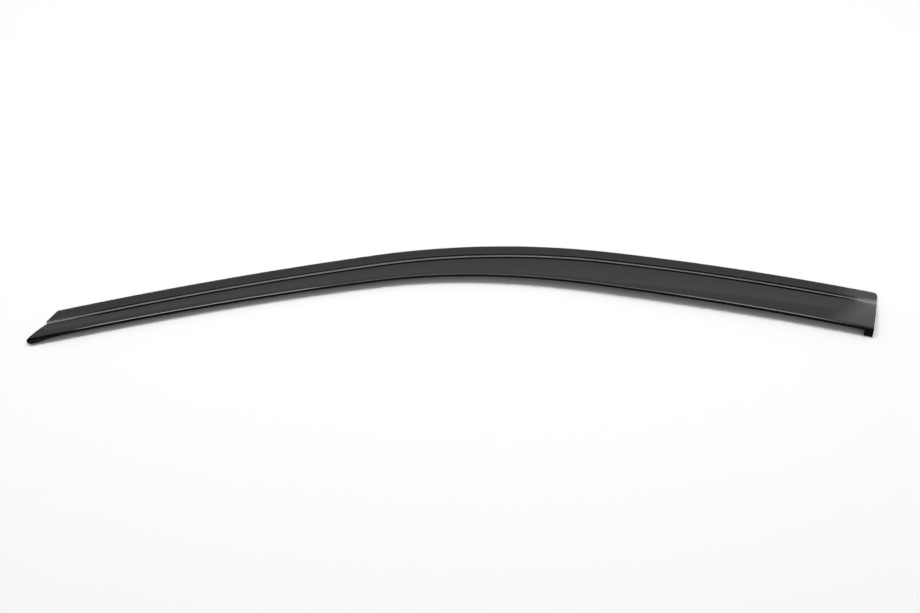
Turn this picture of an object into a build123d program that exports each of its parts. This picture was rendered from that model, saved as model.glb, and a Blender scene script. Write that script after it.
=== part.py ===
from build123d import *
import math
import os

# A left-hand side-window rain deflector, moulded in one piece from smoke-tinted acrylic.
# It lies on its flange's flat back: +X runs to the rear end, +Y to the flange's rim, +Z up.
# "Along" is a distance behind the front tip, measured along the flange's rim in plan.
# "Across" is a distance from the rim towards the free lower edge. Millimetres and degrees.

# Sheet
sheet = 3.0                  # wall of the whole moulding
edge_round = 1.4             # upper rounding of the rim and of the rear end
nose_radius = 1.3            # upper rounding of the free lower edge
edge_break = 0.5             # chamfer of its lower corner
cut_round = 0.8              # rounding of the flange's front cut

# Rim of the flange in plan: three arcs, each tangent to the next
length = 1038.0              # from the front tip to the rear end
front_heading = 18.06        # angle of the rim to the X axis at the tip
front_length = 420.0         # long front arc, beside the screen pillar
front_radius = 3850.0
bend_length = 294.0          # tighter arc where the pillar turns into the roof
bend_radius = 790.0
rear_radius = 2680.0         # long rear arc, under the roof

# Flange and the ramp up to the raised face
flange_width = 11.9          # flat top of the flange, up to the ramp's hollow
hollow_radius = 14.0
ramp_angle = 26.0
step_rise = 6.0              # from the flange's top to the start of the face
crest_radius = 30.0

# Raised face: overall width from rim to lower edge, and mean climb, at named places
front_width = 46.6
bend_start_width = 54.8
bend_end_width = 71.2
rear_width = 74.2
front_pitch = 6.4
bend_pitch = 8.8             # at the middle of the bend, where the face stands out most
rear_pitch = 4.8
face_crown = 8.0             # turn of the face's convex arc

# Lower edge: rolled down a little, and much more at the front tip, where the face also dives
lip_radius = 7.0
lip_turn = 36.0
tip_lip_turn = 48.0
tip_lip_radius = 10.0
roll_length = 60.0           # length behind the tip over which the stronger roll fades out
tip_pitch = -10.0
dive_length = 30.0           # length behind the tip over which the dive fades out

# Front outline in plan
flange_front = 39.0          # along, where the flange's cut meets the rim
flange_nose = 24.5           # along, where it ends beside the ramp
flange_nose_across = 14.8
face_front = 26.0            # along, where the face's slanted edge starts
face_front_across = 23.8
tip_across = 43.6            # where that edge ends, at the blunt tip
tip_blunt = 5.5              # length of the blunt tip, along the part

# Rear end: a leaning wall closes it, with a foot turned down at the lower corner
end_wall = 3.0
end_skew = 0.9               # turn of the end in plan, off square to the rim
end_lean = 4.5               # lean of the wall, inwards at the top
foot_width = 10.6
foot_fillet = 2.2            # between the foot's side and the underside of the face
corner_radius = 5.0          # rear corner of the flange in plan

# Making
plumb = -90.0                # heading of a line straight down
run_out = 16.0               # the section is swept this far past the tip, then trimmed
clear = 6.0                  # how far cutting solids reach past the part
tip_stations = 8
stations = 13


def sine(angle):
    return math.sin(math.radians(angle))


def cosine(angle):
    return math.cos(math.radians(angle))


def heading(angle):
    return Vector(cosine(angle), sine(angle))


def ease(share):
    share = min(max(share, 0.0), 1.0)
    return share * share * (3 - 2 * share)


def fair(along, knots):
    # A fair curve through (along, value) pairs, level past both ends
    along = min(max(along, knots[0][0]), knots[-1][0])
    last = len(knots) - 1
    slopes = []
    for i in range(len(knots)):
        before = knots[max(i - 1, 0)]
        after = knots[min(i + 1, last)]
        slopes.append((after[1] - before[1]) / (after[0] - before[0]))
    i = max(j for j in range(last) if along >= knots[j][0])
    span = knots[i + 1][0] - knots[i][0]
    share = (along - knots[i][0]) / span
    value = knots[i][1] + (knots[i + 1][1] - knots[i][1]) * ease(share)
    value += span * slopes[i] * share * (1 - share) ** 2
    return value - span * slopes[i + 1] * share ** 2 * (1 - share)


def turning_arc(start, direction, radius, distance):
    return JernArc(start, direction, radius, -math.degrees(distance / radius))


# Plan line of the rim, from the run-out before the tip to the rear end
run_out_heading = heading(front_heading + math.degrees(run_out / front_radius))
front_arc = turning_arc((0, 0), run_out_heading, front_radius, run_out + front_length)
bend_arc = turning_arc(front_arc @ 1, front_arc % 1, bend_radius, bend_length)
rear_arc = turning_arc(bend_arc @ 1, bend_arc % 1, rear_radius, length - front_length - bend_length)
rim_line = Wire([front_arc, bend_arc, rear_arc])
bend_middle = front_length + bend_length / 2
bend_end = front_length + bend_length


def station(along):
    # Section plane square to the rim: its x runs across, its y up, its z to the front
    spot = rim_line.position_at(along + run_out, PositionMode.LENGTH)
    ahead = rim_line.tangent_at(along + run_out, PositionMode.LENGTH)
    return Plane(origin=spot, x_dir=(ahead.Y, -ahead.X), z_dir=-ahead)


def width_at(along):
    return fair(along, [(0, front_width), (front_length, bend_start_width),
                        (bend_end, bend_end_width), (length, rear_width)])


def pitch_at(along):
    climb = fair(along, [(0, front_pitch), (bend_middle, bend_pitch), (length, rear_pitch)])
    return tip_pitch + (climb - tip_pitch) * ease(along / dive_length)


def skin(along, depth):
    # Ramp, crest, face and lip of one section, at a depth below the upper side
    pitch = pitch_at(along)
    roll = tip_lip_turn + (lip_turn - tip_lip_turn) * ease(along / roll_length)
    bow = tip_lip_radius + (lip_radius - tip_lip_radius) * ease(along / roll_length)
    face_start = pitch + face_crown / 2
    face_end = pitch - face_crown / 2
    lip_end = face_end - roll
    hollow_end = Vector(flange_width + hollow_radius * sine(ramp_angle),
                        sheet + hollow_radius * (1 - cosine(ramp_angle)))
    crest_rise = crest_radius * (cosine(face_start) - cosine(ramp_angle))
    ramp_length = (sheet + step_rise - crest_rise - hollow_end.Y) / sine(ramp_angle)
    ramp_end = hollow_end + heading(ramp_angle) * ramp_length
    face_from = ramp_end.X + crest_radius * (sine(ramp_angle) - sine(face_start))
    lip_run = bow * (sine(face_end) - sine(lip_end))
    nose_run = nose_radius * (sine(lip_end) + 1)
    chord = (width_at(along) - nose_run - lip_run - face_from) / cosine(pitch)
    face_radius = chord / (2 * sine(face_crown / 2))

    sunk = heading(ramp_angle - 90) * depth
    ramp = Line(hollow_end + sunk, ramp_end + sunk)
    crest = JernArc(ramp @ 1, heading(ramp_angle), crest_radius - depth, face_start - ramp_angle)
    face = JernArc(crest @ 1, heading(face_start), face_radius - depth, -face_crown)
    lip = JernArc(face @ 1, heading(face_end), bow - depth, -roll)
    return ramp, crest, face, lip, lip_end


def body_section(along):
    # All that lies below the upper side, to some way past the plane of the flange's back
    width = width_at(along)
    ramp, crest, face, lip, lip_end = skin(along, 0)
    flange_top = Line((0, sheet), (flange_width, sheet))
    hollow = JernArc((flange_width, sheet), (1, 0), hollow_radius, ramp_angle)
    nose = JernArc(lip @ 1, heading(lip_end), nose_radius, plumb - lip_end)
    base = Polyline(nose @ 1, (width, -clear), (0, -clear), (0, sheet))
    return Face(Wire([flange_top, hollow, ramp, crest, face, lip, nose, *base.edges()]))


def air_section(along):
    # The air space under the face, open below and past the lower edge
    ramp, crest, face, lip, lip_end = skin(along, sheet)
    width = width_at(along)
    lip_foot = lip @ 1
    ramp_top = ramp @ 1
    ramp_foot = ramp_top - heading(ramp_angle) * ((ramp_top.Y + 2 * clear) / sine(ramp_angle))
    slope = Line(ramp_foot, ramp_top)
    under = Polyline(lip_foot, (width - edge_break, lip_foot.Y), (width + clear, lip_foot.Y + edge_break + clear),
                     (width + clear, -2 * clear), ramp_foot)
    return Face(Wire([slope, crest, face, lip, *under.edges()]))


def swept(section, start, end):
    # A section carried from a place before the tip to the leaning rear end, closest near the tip
    near = [start + (roll_length - start) * i / tip_stations for i in range(tip_stations)]
    far = [roll_length + (end - roll_length) * i / (stations - 1) for i in range(stations)]
    sections = [station(along) * section(along) for along in near + far[:-1]]
    sections.append(station(end) * Rot(0, -end_skew, 0) * Rot(end_lean, 0, 0) * section(end))
    return loft(sections)


def front_trim():
    # Everything before the flange's cut, the notch, the face's slanted edge and the blunt tip
    tip = station(0)
    plan = Plane(origin=tip.origin, x_dir=-tip.z_dir, z_dir=(0, 0, -1))
    slant = (flange_front - flange_nose) / flange_nose_across
    blunt = (front_width - tip_across) / tip_blunt
    past_tip = 3 * tip_blunt
    outline = Polyline(
        (-2 * run_out, -clear), (flange_front + slant * clear, -clear), (flange_nose, flange_nose_across),
        (face_front, face_front_across), (0, tip_across), (past_tip, tip_across + blunt * past_tip),
        (-2 * run_out, tip_across + blunt * past_tip), close=True)
    return extrude(plan * make_face(outline), front_width, both=True)


def foot():
    # The block that stays at the rear lower corner, flared where it meets the face
    ramp, crest, face, lip, lip_end = skin(length, sheet)
    top = (lip @ 1).Y
    side = Plane(origin=(0, 0, 0), x_dir=(0, 0, 1), z_dir=(1, 0, 0))
    flare = JernArc((foot_width, -top + foot_fillet), (0, -1), foot_fillet, 90)
    outline = Polyline(flare @ 1, (foot_width + foot_fillet, -top - clear), (-clear, -top - clear),
                       (-clear, clear), (foot_width, clear), flare @ 0)
    block = extrude(side * make_face([flare, *outline.edges()]), sheet + 2 * clear)
    return station(length) * Pos(rear_width - sheet, 0, 0) * block


below = Box(2 * length, 2 * length, 2 * clear, align=(Align.CENTER, Align.CENTER, Align.MAX))
visor = swept(body_section, -run_out / 2, length) - below - front_trim()
visor -= swept(air_section, -run_out, length - end_wall) - foot()
visor = visor.solid()


def rounded(solid, radius, plane, across, height):
    # Rounds the edge nearest to a point of a section plane, and what runs on smoothly from it
    spot = plane.from_local_coords((across, height, 0))
    return solid.fillet(radius, [solid.edges().sort_by_distance(spot)[0]])


# Roundings: flange corner, rim and rear end, flange's front cut
visor = rounded(visor, corner_radius, station(length), 0, sheet / 2)
visor = rounded(visor, edge_round, station(bend_middle), 0, sheet)
visor = rounded(visor, cut_round, station((flange_front + flange_nose) / 2), flange_nose_across / 2, sheet)

# Origin at the middle of the footprint, on the plane the part lies on
box = visor.bounding_box()
visor = Pos(-box.center().X, -box.center().Y, -box.min.Z) * visor

os.makedirs("parts", exist_ok=True)
export_step(visor, "parts/visor.step")
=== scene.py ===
import math
from bisect import bisect

import bpy
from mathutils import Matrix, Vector


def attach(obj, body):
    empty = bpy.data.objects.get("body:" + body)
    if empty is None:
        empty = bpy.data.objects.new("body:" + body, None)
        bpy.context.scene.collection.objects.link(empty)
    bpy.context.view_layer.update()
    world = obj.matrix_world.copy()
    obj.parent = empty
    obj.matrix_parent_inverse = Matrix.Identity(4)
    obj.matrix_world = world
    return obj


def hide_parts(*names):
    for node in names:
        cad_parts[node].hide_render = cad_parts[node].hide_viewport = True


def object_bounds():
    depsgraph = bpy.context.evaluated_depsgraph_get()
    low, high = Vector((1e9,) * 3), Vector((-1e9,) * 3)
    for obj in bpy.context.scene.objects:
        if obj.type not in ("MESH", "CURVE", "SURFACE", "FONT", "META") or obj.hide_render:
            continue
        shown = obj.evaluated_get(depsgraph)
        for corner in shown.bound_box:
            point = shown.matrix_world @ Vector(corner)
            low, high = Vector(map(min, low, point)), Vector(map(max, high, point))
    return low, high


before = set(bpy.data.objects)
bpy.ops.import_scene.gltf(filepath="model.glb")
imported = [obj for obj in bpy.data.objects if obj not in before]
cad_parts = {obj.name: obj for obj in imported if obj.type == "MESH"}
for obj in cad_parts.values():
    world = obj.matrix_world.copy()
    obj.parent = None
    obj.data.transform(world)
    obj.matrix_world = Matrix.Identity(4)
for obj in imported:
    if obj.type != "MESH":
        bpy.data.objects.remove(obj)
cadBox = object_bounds()
print("frame loaded", [round(v, 4) for v in cadBox[1]])

white = (1, 1, 1, 1)
millimetre = 0.001


# shader maths as plain expressions

class Socket:
    def __init__(self, graph, out):
        self.graph = graph
        self.out = out

    def maths(self, operation, a, b=0.0):
        return self.graph.add("ShaderNodeMath", {"operation": operation}, {0: a, 1: b})

    def __add__(self, other):
        return self.maths("ADD", self, other)

    def __radd__(self, other):
        return self.maths("ADD", other, self)

    def __sub__(self, other):
        return self.maths("SUBTRACT", self, other)

    def __rsub__(self, other):
        return self.maths("SUBTRACT", other, self)

    def __mul__(self, other):
        return self.maths("MULTIPLY", self, other)

    def __rmul__(self, other):
        return self.maths("MULTIPLY", other, self)

    def top(self, other):
        return self.maths("MAXIMUM", self, other)

    def least(self, other):
        return self.maths("MINIMUM", self, other)

    def size(self):
        return self.maths("ABSOLUTE", self)

    # 0 up to a start, and climbing from there
    def rise(self, start, gain):
        return ((self - start) * gain).top(0.0)


class Graph:
    def __init__(self, tree):
        self.tree = tree
        tree.nodes.clear()

    # one way to make any node: its type, its settings first, then its sockets
    def add(self, kind, settings=None, inputs=None, out=0):
        node = self.tree.nodes.new(kind)
        for key, value in (settings or {}).items():
            setattr(node, key, value)
        for key, value in (inputs or {}).items():
            if isinstance(value, Socket):
                self.tree.links.new(value.out, node.inputs[key])
            else:
                node.inputs[key].default_value = value
        return Socket(self, node.outputs[out]) if node.outputs else None

    # a Mix node has its colours on sockets 6 and 7, and their mix on 2
    def mixColours(self, share, first, second):
        return self.add("ShaderNodeMix", {"data_type": "RGBA"}, {"Factor": share, 6: first, 7: second}, out=2)


def newMaterial(name):
    material = bpy.data.materials.new(name)
    material.use_nodes = True
    return material, Graph(material.node_tree)


def newMesh(name, points, faces):
    mesh = bpy.data.meshes.new(name)
    mesh.from_pydata(points, [], faces)
    return mesh


def putInScene(name, data):
    item = bpy.data.objects.new(name, data)
    bpy.context.scene.collection.objects.link(item)
    return item


# the deflector: smoke-tinted acrylic, polished by its mould, with a trimmed outline whose upright edges get
# painted shade

acrylic = {
    "tint": (0.0034, 0.0034, 0.0037, 1),
    "paleTint": (0.0056, 0.0056, 0.0060, 1),
    "index": 1.40,
    "gloss": 0.03,           # roughness where the face is cleanest
    "noiseRough": 0.55,
    "waveSize": 30.0,        # slow waves left by the mould, per metre
    "waveDetail": 1.0,
    "waveStretch": (0.35, 1, 1),
    "waveDepth": 0.00004,
    "peelSize": 900.0,       # fine orange peel, per metre
    "peelDetail": 1.0,
    "peelDepth": 0.000002,
    "smearSize": 18.0,       # where it is handled
    "smearDetail": 4.0,
    "smearStretch": (0.25, 1, 1),
    "smearFrom": 0.45,
    "smearGain": 3.0,
    "smearHaze": 0.03,
    "dustSize": 1400.0,
    "dustDetail": 2.0,
    "dustFrom": 0.66,
    "dustGain": 9.0,
    "dustHaze": 0.08,
    # painted shade: upright faces, the trimmed edges and the foot, take this near-black, dull finish
    "trimShadeTint": (0.0008, 0.0008, 0.0008, 1),
    "trimShadeGloss": 0.55,
    "trimShadeShine": 0.045,
    "trimShadeFrom": 0.24,        # how far the surface turns from level, before the trimmed edge's painted shade begins
    "trimShadeFull": 0.40,
}


def makeAcrylic(look):
    material, g = newMaterial("smokeAcrylic")
    place = g.add("ShaderNodeTexCoord", out="Object")

    def noise(size, detail, stretch=(1, 1, 1)):
        spot = g.add("ShaderNodeMapping", {}, {"Vector": place, "Scale": stretch})
        return g.add("ShaderNodeTexNoise", {}, {
            "Vector": spot, "Scale": size, "Detail": detail, "Roughness": look["noiseRough"]})

    waves = noise(look["waveSize"], look["waveDetail"], look["waveStretch"])
    peel = noise(look["peelSize"], look["peelDetail"])
    smears = noise(look["smearSize"], look["smearDetail"], look["smearStretch"])
    dust = noise(look["dustSize"], look["dustDetail"])

    haze = smears.rise(look["smearFrom"], look["smearGain"]) * look["smearHaze"]
    specks = dust.rise(look["dustFrom"], look["dustGain"]) * look["dustHaze"]
    relief = waves * look["waveDepth"] + peel * look["peelDepth"]
    bump = g.add("ShaderNodeBump", {}, {"Height": relief, "Distance": 1.0, "Strength": 1.0})
    face = g.add("ShaderNodeBsdfPrincipled", {}, {
        "Base Color": g.mixColours(smears, look["tint"], look["paleTint"]),
        "Roughness": look["gloss"] + haze + specks, "IOR": look["index"], "Normal": bump})

    # painted shade: wherever the sheet stands on end, the trimmed edge and the foot turn dull and nearly
    # black
    facing = g.add("ShaderNodeNewGeometry", out="Normal")
    level = g.add("ShaderNodeSeparateXYZ", {}, {0: facing}, out="Z").size()
    gain = 1 / (look["trimShadeFull"] - look["trimShadeFrom"])
    trimShadeMask = (1.0 - level).rise(look["trimShadeFrom"], gain).least(1.0)
    trimShadeShader = g.add("ShaderNodeBsdfPrincipled", {}, {
        "Base Color": look["trimShadeTint"], "Roughness": look["trimShadeGloss"],
        "Specular IOR Level": look["trimShadeShine"]})
    shader = g.add("ShaderNodeMixShader", {}, {0: trimShadeMask, 1: face, 2: trimShadeShader})
    g.add("ShaderNodeOutputMaterial", {}, {"Surface": shader})
    return material


# the moulding, carried along the rim as in the part's source, in millimetres, in finer steps
# "along" is the distance behind the front tip, "across" the distance from the rim

skin = {
    "sheet": 3.0,
    "edgeRound": 1.4,        # rim and rear end
    "cutRound": 0.8,         # front cut of the flange
    "cutSlant": 45.0,
    "noseRadius": 1.3,
    "rimStart": (-528.003, -46.130),
    "runOut": 16.0,          # the rim's line starts this far before the tip
    "length": 1038.0,
    "heading": 18.06,
    "frontLength": 420.0,
    "frontRadius": 3850.0,
    "bendLength": 294.0,
    "bendRadius": 790.0,
    "rearRadius": 2680.0,
    "flange": 11.9,
    "hollow": 14.0,
    "ramp": 24.8,            # a little less than the solid's, so that its light line shows
    "rise": 6.0,
    "crest": 30.0,
    "widths": (46.6, 54.8, 71.2, 74.2),
    "climbs": (6.4, 8.8, 4.8),
    "crown": 8.0,
    "lip": 7.0,
    "lipTurn": 36.0,
    "tipLip": 10.0,
    "tipLipTurn": 48.0,
    "rollLength": 60.0,
    "tipClimb": -10.0,
    "diveLength": 30.0,
    "frontCut": [(39.0, 0.0), (24.5, 14.8), (26.0, 23.8), (0.0, 43.6), (5.5, 46.6)],
    "endSkew": 0.9,
    "endLean": 4.5,
    "corner": 5.0,
    "edgeBreak": 0.5,        # chamfer under the lower edge
    "endWall": 3.0,
    "footWidth": 10.6,
    "footFlare": 2.2,
    "sharp": 30.0,           # edges that turn more than this stay crisp
}

# how finely it is divided
mesher = {
    "roundSteps": 7,
    "flangeSteps": 4,
    "hollowSteps": 14,
    "rampSteps": 3,
    "crestSteps": 18,
    "faceSteps": 16,
    "lipSteps": 14,
    "noseSteps": 10,
    "longSteps": 420,
    "closing": 1.25,         # more than 1 draws the long steps together towards the tip
    "frontRows": [2.2, 3.2, 4.5, 6.0],
    "edgeRow": 2.2,
    "wallRows": [4.5, 6.0, 8.0],
    "flareShares": (0.15, 0.4, 0.7, 1.0),
    "crisp": 0.05,           # half the run of an upright inner wall
    "firstGuess": 10.0,      # for the place where a line meets the front cut
    "guesses": 12,
}


def sine(angle):
    return math.sin(math.radians(angle))


def cosine(angle):
    return math.cos(math.radians(angle))


def ease(share):
    share = min(max(share, 0.0), 1.0)
    return share * share * (3 - 2 * share)


# a fair curve through (along, value) pairs, level past both ends
def fair(along, knots):
    last = len(knots) - 1
    along = min(max(along, knots[0][0]), knots[last][0])
    slopes = []
    for i in range(last + 1):
        before = knots[max(i - 1, 0)]
        after = knots[min(i + 1, last)]
        slopes.append((after[1] - before[1]) / (after[0] - before[0]))
    i = max(j for j in range(last) if along >= knots[j][0])
    span = knots[i + 1][0] - knots[i][0]
    share = (along - knots[i][0]) / span
    value = knots[i][1] + (knots[i + 1][1] - knots[i][1]) * ease(share)
    value += span * slopes[i] * share * (1 - share) ** 2
    return value - span * slopes[i + 1] * share ** 2 * (1 - share)


# the rim in plan: three arcs, each tangent to the next
def rimAt(along):
    s = skin
    x, y = s["rimStart"]
    left = along + s["runOut"]
    heading = math.radians(s["heading"]) + s["runOut"] / s["frontRadius"]
    arcs = [(s["runOut"] + s["frontLength"], s["frontRadius"]),
            (s["bendLength"], s["bendRadius"]), (s["length"], s["rearRadius"])]
    for span, radius in arcs:
        turn = min(left, span) / radius
        x += radius * (math.sin(heading) - math.sin(heading - turn))
        y += radius * (math.cos(heading - turn) - math.cos(heading))
        heading -= turn
        left -= min(left, span)
    return x, y, heading


def arcPoints(start, angle, radius, turn, steps):
    side = 1 if turn > 0 else -1
    points = []
    for i in range(1, steps + 1):
        now = angle + turn * i / steps
        points.append((start[0] + side * radius * (sine(now) - sine(angle)),
                       start[1] + side * radius * (cosine(angle) - cosine(now))))
    return points


# angles and sizes of the section at one place
def formAt(along):
    s = skin
    bendEnd = s["frontLength"] + s["bendLength"]
    bendMiddle = s["frontLength"] + s["bendLength"] / 2
    width = fair(along, list(zip((0, s["frontLength"], bendEnd, s["length"]), s["widths"])))
    climb = fair(along, list(zip((0, bendMiddle, s["length"]), s["climbs"])))
    climb = s["tipClimb"] + (climb - s["tipClimb"]) * ease(along / s["diveLength"])
    rolled = ease(along / s["rollLength"])
    roll = s["tipLipTurn"] + (s["lipTurn"] - s["tipLipTurn"]) * rolled
    bow = s["tipLip"] + (s["lip"] - s["tipLip"]) * rolled
    faceStart = climb + s["crown"] / 2
    faceEnd = climb - s["crown"] / 2
    lipEnd = faceEnd - roll
    ramp = s["ramp"]
    footAcross = s["flange"] + s["hollow"] * sine(ramp)
    footHeight = s["sheet"] + s["hollow"] * (1 - cosine(ramp))
    crestRise = s["crest"] * (cosine(faceStart) - cosine(ramp))
    rampLength = (s["sheet"] + s["rise"] - crestRise - footHeight) / sine(ramp)
    faceFrom = footAcross + rampLength * cosine(ramp) + s["crest"] * (sine(ramp) - sine(faceStart))
    lipRun = bow * (sine(faceEnd) - sine(lipEnd))
    noseRun = s["noseRadius"] * (sine(lipEnd) + 1)
    chord = (width - noseRun - lipRun - faceFrom) / cosine(climb)
    return {
        "width": width, "roll": roll, "bow": bow,
        "faceStart": faceStart, "faceEnd": faceEnd, "lipEnd": lipEnd,
        "rampFoot": (footAcross, footHeight), "rampLength": rampLength,
        "faceRadius": chord / (2 * sine(s["crown"] / 2)),
    }


# ramp, crest, face and lip at a depth under the upper side, as (across, height)
def raisedPoints(form, depth):
    s = skin
    m = mesher
    ramp = s["ramp"]
    across = form["rampFoot"][0] + depth * sine(ramp)
    height = form["rampFoot"][1] - depth * cosine(ramp)
    points = []
    for i in range(m["rampSteps"] + 1):
        run = form["rampLength"] * i / m["rampSteps"]
        points.append((across + run * cosine(ramp), height + run * sine(ramp)))
    crestTurn = form["faceStart"] - ramp
    points += arcPoints(points[-1], ramp, s["crest"] - depth, crestTurn, m["crestSteps"])
    faceRadius = form["faceRadius"] - depth
    points += arcPoints(points[-1], form["faceStart"], faceRadius, -s["crown"], m["faceSteps"])
    points += arcPoints(points[-1], form["faceEnd"], form["bow"] - depth, -form["roll"], m["lipSteps"])
    return points


# distances from an edge that divide its rounding evenly
def roundRows():
    steps = mesher["roundSteps"]
    return [skin["edgeRound"] * (1 - cosine(90 * i / steps)) for i in range(steps + 1)]


# upper side of the section, rim to lower edge
def sectionAt(along):
    s = skin
    m = mesher
    form = formAt(along)
    flat = s["flange"] - s["edgeRound"]
    points = [(across, s["sheet"]) for across in roundRows()]
    for i in range(1, m["flangeSteps"] + 1):
        points.append((s["edgeRound"] + flat * i / m["flangeSteps"], s["sheet"]))
    points += arcPoints(points[-1], 0, s["hollow"], s["ramp"], m["hollowSteps"])
    points += raisedPoints(form, 0)[1:]
    noseTurn = -90 - form["lipEnd"]
    points += arcPoints(points[-1], form["lipEnd"], s["noseRadius"], noseTurn, m["noseSteps"])
    return points


def frontAt(across):
    cut = skin["frontCut"]
    for (along0, across0), (along1, across1) in zip(cut, cut[1:]):
        if across <= across1 or across1 == cut[-1][1]:
            return along0 + (along1 - along0) * (across - across0) / (across1 - across0)


def rearAt(across, height):
    return skin["length"] - across * sine(skin["endSkew"]) - height * sine(skin["endLean"])


def roundDrop(distance, radius):
    inside = max(radius - max(distance, 0.0), 0.0)
    return radius - math.sqrt(radius * radius - inside * inside)


# how far before the rear end the foot's upright front stands, at a height of the leaning end
def footReach(height):
    return skin["footWidth"] - height * sine(skin["endLean"])


# height of the underside at a place, where the flange's flat back lies at 0
def underHeight(along, across, behind, reach):
    s = skin
    form = formAt(along)
    points = raisedPoints(form, s["sheet"])
    start = points[0][0] - points[0][1] / math.tan(math.radians(s["ramp"]))
    lipFoot = points[-1][1]
    points = [(start, 0.0)] + points
    points += [(form["width"] - s["edgeBreak"], lipFoot), (form["width"], lipFoot + s["edgeBreak"])]
    if across <= start or behind < s["endWall"]:
        return 0.0
    k = min(bisect([p[0] for p in points], across), len(points) - 1)
    across0, height0 = points[k - 1]
    across1, height1 = points[k]
    height = height0 + (height1 - height0) * min((across - across0) / (across1 - across0), 1.0)
    if across > s["widths"][-1] - s["sheet"]:
        if behind < reach:
            return 0.0
        height -= roundDrop(behind - reach, s["footFlare"])
    return max(height, 0.0)


# a place of the part in metres, kept inside the frame's box
def spotAt(along, across, height):
    x, y, heading = rimAt(along)
    spot = Vector((x + across * math.sin(heading), y - across * math.cos(heading), height)) * millimetre
    for k in range(3):
        spot[k] = min(max(spot[k], cadBox[0][k]), cadBox[1][k])
    return spot


# a point of the upper side, and the point of the underside below it
def skinPair(along, j):
    s = skin
    across, height = sectionAt(along)[j]
    behind = rearAt(across, height) - along
    inward = min(across, behind)
    if max(across, behind) < s["corner"]:
        inward = s["corner"] - math.hypot(s["corner"] - across, s["corner"] - behind)
    drop = roundDrop(inward, s["edgeRound"])
    if across < s["frontCut"][1][1]:
        fromCut = (along - frontAt(across)) * cosine(s["cutSlant"])
        drop = max(drop, roundDrop(fromCut, s["cutRound"]))
    # the underside follows the end's lean, as far as the foot's front
    reach = footReach(height)
    below = along + height * sine(s["endLean"]) * max(1 - behind / reach, 0.0)
    under = underHeight(below, across, behind, reach)
    return spotAt(along, across, height - drop), spotAt(below, across, under)


# columns of such pairs, each from the front outline to the rear end
def makeColumns():
    s = skin
    m = mesher
    crisp = m["crisp"]
    wall = [s["endWall"] - crisp, s["endWall"] + crisp]
    front = roundRows() + m["frontRows"]
    columns = []
    for j in range(len(sectionAt(0))):
        start = m["firstGuess"]
        for guess in range(m["guesses"]):
            start = frontAt(sectionAt(start)[j][0])
        across, height = sectionAt(s["length"])[j]
        end = rearAt(across, height)
        if across < s["corner"]:
            end -= s["corner"] - math.sqrt(s["corner"] ** 2 - (s["corner"] - across) ** 2)
        reach = footReach(height)
        foot = [reach - crisp, reach + crisp]
        flare = [reach + s["footFlare"] * share for share in m["flareShares"]]
        rear = roundRows() + [m["edgeRow"]] + wall + m["wallRows"] + foot + flare
        begin = start + front[-1]
        finish = end - rear[-1]
        places = [start + step for step in front]
        for i in range(1, m["longSteps"]):
            places.append(begin + (finish - begin) * (i / m["longSteps"]) ** m["closing"])
        places += [end - step for step in reversed(rear)]
        columns.append([skinPair(along, j) for along in places])
    return columns


# one closed mesh: upper side, underside, and the edge walls between them
def makeVisor():
    columns = makeColumns()
    rows = len(columns[0])
    count = rows * len(columns)
    points = []
    for side in (0, 1):
        points += [tuple(pair[side]) for column in columns for pair in column]
    faces = []
    for a in range(count - rows):
        if a % rows < rows - 1:
            quad = (a, a + rows, a + rows + 1, a + 1)
            faces.append(quad)
            faces.append(tuple(k + count for k in quad[::-1]))
    rim = list(range(rows))
    rear = list(range(2 * rows - 1, count, rows))
    lower = list(range(count - 2, count - rows - 1, -1))
    front = list(range(count - 2 * rows, 0, -rows))
    border = rim + rear + lower + front
    for a, b in zip(border, border[1:] + border[:1]):
        faces.append((a, b, b + count, a + count))
    mesh = newMesh("visorMoulding", points, faces)
    mesh.polygons.foreach_set("use_smooth", [True] * len(faces))
    mesh.set_sharp_from_angle(angle=math.radians(skin["sharp"]))
    return mesh


visorMesh = makeVisor()
visorMesh.materials.append(makeAcrylic(acrylic))
visor = putInScene("visorMoulding", visorMesh)
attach(visor, "root")
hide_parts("visor")
print("visor moulded,", len(visorMesh.polygons), "faces")


# the stage: a pale table that runs out of sight

table = {
    "colour": (0.97, 0.97, 0.97, 1),
    "half": 14.0,
    "below": 0.0002,
    "clear": 0.7,            # beyond this distance it fades into the white studio
    "fade": 0.7,
}


# 1 where the camera looks straight, by reflection or through something clear
def seenOrMirrored(g):
    seen = g.add("ShaderNodeLightPath", out="Is Camera Ray")
    mirrored = g.add("ShaderNodeLightPath", out="Is Glossy Ray")
    through = g.add("ShaderNodeLightPath", out="Is Transmission Ray")
    return seen.top(mirrored).top(through)


def makeTable(look):
    half = look["half"]
    corners = [(-half, -half, 0), (half, -half, 0), (half, half, 0), (-half, half, 0)]
    mesh = newMesh("table", corners, [(0, 1, 2, 3)])
    top = putInScene("table", mesh)
    top.location.z = cadBox[0][2] - look["below"]
    material, g = newMaterial("paleTable")
    near = g.add("ShaderNodeBsdfDiffuse", {}, {"Color": look["colour"]})
    far = g.add("ShaderNodeEmission", {}, {"Color": white})
    place = g.add("ShaderNodeTexCoord", out="Object")
    away = g.add("ShaderNodeVectorMath", {"operation": "LENGTH"}, {0: place}, out="Value")
    faded = away.rise(look["clear"], 1 / look["fade"]).least(1.0)
    mixed = g.add("ShaderNodeMixShader", {}, {0: faded * seenOrMirrored(g), 1: near, 2: far})
    g.add("ShaderNodeOutputMaterial", {}, {"Surface": mixed})
    mesh.materials.append(material)


makeTable(table)
print("table laid")


# light: two softboxes overhead in a white studio

studio = {
    "ambient": 0.45,         # what the white studio adds to the table
    "boxLevel": 16.4,        # brightness of a softbox, where 1 is white
    "boxSize": (0.45, 0.80),
    "boxPlaces": [(-0.65, 0.34, 2.2), (0.65, 0.34, 2.2)],
}

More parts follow.
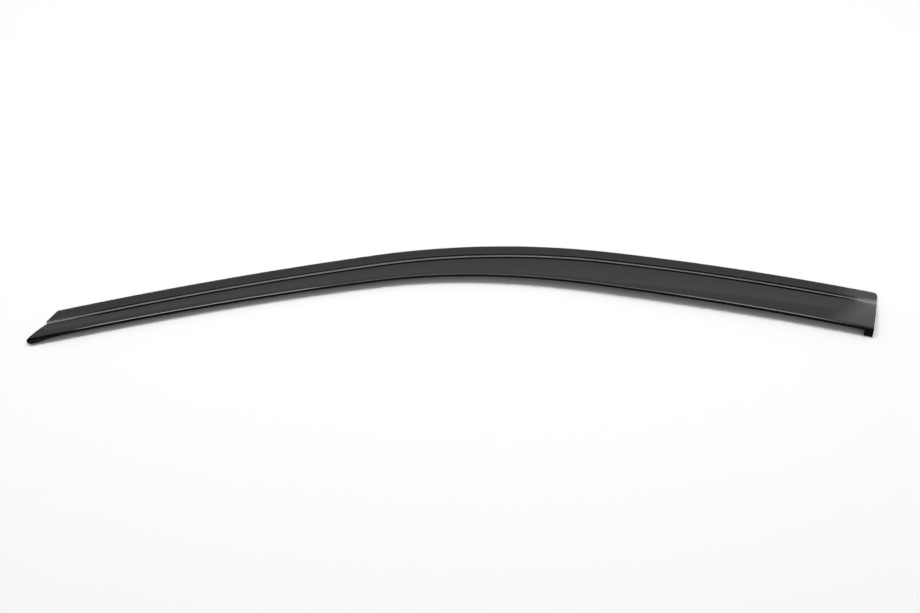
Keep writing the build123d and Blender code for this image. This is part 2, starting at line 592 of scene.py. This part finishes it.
# panels that only the gloss can see, each a rectangle from corner to corner, with its brightness
# a fade starts from another brightness, over a share of the panel's side
panels = {
    "leftStrip": {"from": (-0.62, -0.12, 1.55), "to": (-0.14, 0.18, 1.55), "level": 15.0},
    "midStrip": {"from": (-0.14, -0.12, 1.55), "to": (0.30, 0.18, 1.55), "level": 5.5},
    "rightStrip": {"from": (0.30, -0.12, 1.55), "to": (0.62, 0.18, 1.55), "level": 12.0},
    "backSheet": {"from": (-3.0, 0.18, 1.8), "to": (3.0, 1.5, 1.8), "level": 1.3},
    "rearSheet": {"from": (0.488, 0.055, 0.0006), "to": (0.62, 0.30, 0.0006), "level": 3.4},
    "sidePanel": {"from": (1.27, 2.0, 0.0), "to": (2.8, 2.0, 3.0), "level": 2.05,
                  "fade": {"axis": "X", "over": 0.05, "start": 1.0}},
    "lowWall": {"from": (-7.0, 4.0, 0.0), "to": (7.0, 4.0, 2.8), "level": 1.25,
                "fade": {"axis": "Z", "over": 1.0, "start": 0.1}},
    "dimCeiling": {"from": (-6.0, -0.25, 2.6), "to": (6.0, -2.5, 2.6), "level": 0.03},
}

# a low dark card stands behind the part and draws the thin lines along its ramp; seen along, it is pale
card = {
    "left": (-0.486, 0.041),
    "middle": (0.0, 0.160),
    "right": (0.503, 0.064),
    "height": 0.037,
    "lift": 0.0004,
    "taper": 0.03,
    "steps": 60,
    "level": 0.0,
    "sheen": {"blend": 0.5, "from": 0.15, "gain": 3.0},
}


def makeLamp(name, level, size, place):
    lamp = bpy.data.lights.new(name, "AREA")
    lamp.shape = "RECTANGLE"
    lamp.size, lamp.size_y = size
    lamp.energy = level * math.pi * lamp.size * lamp.size_y
    lampObject = putInScene(name, lamp)
    lampObject.location = place
    lampObject.visible_camera = False
    lampObject.visible_glossy = False


# a stage piece that only the gloss can see
def makePanel(name, points, faces, level, fade=None, sheen=None):
    mesh = newMesh(name, points, faces)
    panel = putInScene(name, mesh)
    panel.visible_camera = False
    panel.visible_diffuse = False
    panel.visible_transmission = False
    panel.visible_volume_scatter = False
    panel.visible_shadow = False
    material, g = newMaterial(name)
    colour = (level, level, level, 1)
    if fade:
        place = g.add("ShaderNodeTexCoord", out="Generated")
        share = g.add("ShaderNodeSeparateXYZ", {}, {0: place}, out=fade["axis"]) * (1 / fade["over"])
        start = (fade["start"], fade["start"], fade["start"], 1)
        colour = g.mixColours(share.least(1.0), start, colour)
    if sheen:
        slant = g.add("ShaderNodeLayerWeight", {}, {"Blend": sheen["blend"]}, out="Facing")
        pale = slant.rise(sheen["from"], sheen["gain"]).least(1.0)
        colour = g.mixColours(pale, colour, white)
    glow = g.add("ShaderNodeEmission", {}, {"Color": colour})
    g.add("ShaderNodeOutputMaterial", {}, {"Surface": glow})
    mesh.materials.append(material)


def makeStudio(look):
    world = bpy.data.worlds.new("studio")
    bpy.context.scene.world = world
    world.use_nodes = True
    g = Graph(world.node_tree)
    level = look["ambient"] + seenOrMirrored(g) * (1 - look["ambient"])
    sky = g.add("ShaderNodeBackground", {}, {"Color": white, "Strength": level})
    g.add("ShaderNodeOutputWorld", {}, {"Surface": sky})
    for i, place in enumerate(look["boxPlaces"]):
        makeLamp("softbox%d" % i, look["boxLevel"], look["boxSize"], place)


def makePanels(looks):
    for name, look in looks.items():
        x0, y0, z0 = look["from"]
        x1, y1, z1 = look["to"]
        corners = [(x0, y0, z0), (x1, y0, z0), (x1, y1, z1), (x0, y1, z1)]
        makePanel(name, corners, [(0, 1, 2, 3)], look["level"], look.get("fade"))


# the card follows a smooth curve through three places, and tapers to nothing at both ends
def makeCard(look):
    points = []
    faces = []
    x0, y0 = look["left"]
    x1, y1 = look["middle"]
    x2, y2 = look["right"]
    for i in range(look["steps"] + 1):
        x = x0 + (x2 - x0) * i / look["steps"]
        y = y0 * (x - x1) * (x - x2) / ((x0 - x1) * (x0 - x2))
        y += y1 * (x - x0) * (x - x2) / ((x1 - x0) * (x1 - x2))
        y += y2 * (x - x0) * (x - x1) / ((x2 - x0) * (x2 - x1))
        full = min((x - x0) / look["taper"], (x2 - x) / look["taper"], 1.0)
        points += [(x, y, look["lift"]), (x, y, look["lift"] + look["height"] * full)]
        if i:
            a = 2 * i
            faces.append((a - 2, a, a + 1, a - 1))
    makePanel("darkCard", points, faces, look["level"], sheen=look["sheen"])


makeStudio(studio)
makePanels(panels)
makeCard(card)
print("studio lit")


# the camera looks down on it at 45 degrees, through a 50 mm lens

view = {
    "lens": 50.0,
    "sensor": 36.0,
    "down": 45.0,
    "reach": 1.51869,
    "aim": (-0.00026, -0.02001, 0.0),
}


def makeCamera(look):
    data = bpy.data.cameras.new("camera")
    data.lens = look["lens"]
    data.sensor_width = look["sensor"]
    data.sensor_fit = "HORIZONTAL"
    camera = putInScene("camera", data)
    down = math.radians(look["down"])
    back = Vector((0, -math.cos(down), math.sin(down)))
    camera.location = Vector(look["aim"]) + back * look["reach"]
    camera.rotation_euler = (math.pi / 2 - down, 0, 0)
    bpy.context.scene.camera = camera


makeCamera(view)
bpy.context.scene.view_settings.view_transform = "Standard"
print("camera set")
